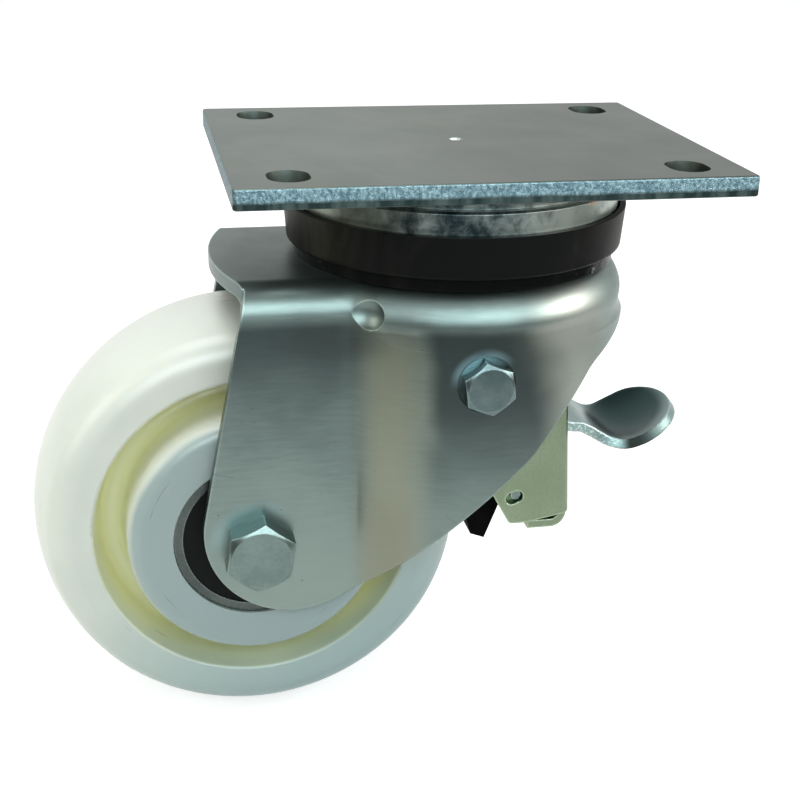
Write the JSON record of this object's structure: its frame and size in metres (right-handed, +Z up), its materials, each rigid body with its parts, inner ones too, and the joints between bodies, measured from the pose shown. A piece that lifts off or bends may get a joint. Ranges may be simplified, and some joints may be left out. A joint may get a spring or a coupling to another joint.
{
  "type": "braked swivel castor",
  "caption": "Heavy-duty plate-fixing swivel castor with a pressed zinc-plated fork, a white nylon wheel on ball bearings and a foot brake that presses a shoe on the tread.",
  "frame": {"origin": "middle of the mounting plate's upper face, on the swivel axis", "axes": "+Z up along the swivel axis, X along the wheel's axle, Y along the direction of travel; the wheel trails towards -Y and the brake pedal points towards +Y"},
  "size_m": [0.1124, 0.1962, 0.169],
  "materials": {
    "plate_zinc": "bright zinc plated steel, dull with handling marks",
    "fork_zinc": "bright bluish zinc plated pressed steel, cloudy",
    "race_zinc": "zinc plated turned steel",
    "fastener_zinc": "bright zinc plated fasteners",
    "bracket_zinc": "greenish zinc plated pressed steel",
    "pedal_zinc": "darker zinc plated pressed steel",
    "bearing_steel": "ground bearing steel",
    "seal_black": "greasy black moulded seal",
    "shoe_black": "black moulded brake shoe",
    "nylon_white": "turned white nylon"
  },
  "bodies": {
    "plate_head": {"top_plate": "plate_zinc", "upper_race": "race_zinc", "king_pin": "race_zinc", "king_cup": "race_zinc", "king_nut": "fastener_zinc"},
    "swivel_fork": {"fork": "fork_zinc", "crown_race": "bearing_steel", "dust_seal": "seal_black", "upper_balls": "bearing_steel", "lower_balls": "bearing_steel", "axle_bolt": "fastener_zinc", "axle_nut": "fastener_zinc", "axle_tube": "race_zinc", "inner_spacer": "race_zinc", "end_bushes": "race_zinc", "bearing_inner_rings": "bearing_steel", "brake_bolt": "fastener_zinc", "brake_nut": "fastener_zinc", "brake_spacers": "race_zinc", "pivot_tube": "race_zinc", "brake_bracket": "bracket_zinc", "lever_pin": "fastener_zinc"},
    "road_wheel": {"wheel": "nylon_white", "bearing_outer_rings": "bearing_steel", "bearing_seals": "seal_black", "bearing_balls": "bearing_steel"},
    "shoe_swing": {"brake_shoe": "shoe_black", "shoe_straps": "bracket_zinc", "guide_pin": "fastener_zinc", "shoe_rivet": "fastener_zinc"},
    "pedal": {"pedal_lever": "pedal_zinc", "brake_cams": "bracket_zinc"}
  },
  "joints": [
    {"name": "swivel", "type": "hinge", "parent": "plate_head", "child": "swivel_fork", "pos_m": [0, 0, -0.0215], "axis": [0, 0, 1], "continuous": true},
    {"name": "wheel_spin", "type": "hinge", "parent": "swivel_fork", "child": "road_wheel", "pos_m": [0, -0.061, -0.1065], "axis": [1, 0, 0], "continuous": true},
    {"name": "pedal_press", "type": "hinge", "parent": "swivel_fork", "child": "pedal", "pos_m": [0, 0.02, -0.077], "axis": [-1, 0, 0], "range_deg": [0, 20]},
    {"name": "shoe_press", "type": "hinge", "parent": "swivel_fork", "child": "shoe_swing", "pos_m": [0, -0.0012, -0.0555], "axis": [-1, 0, 0], "range_deg": [0, 1.75]}
  ],
  "couplings": [
    {"joint": "shoe_press", "follows": "pedal_press", "ratio": 0.0875}
  ]
}
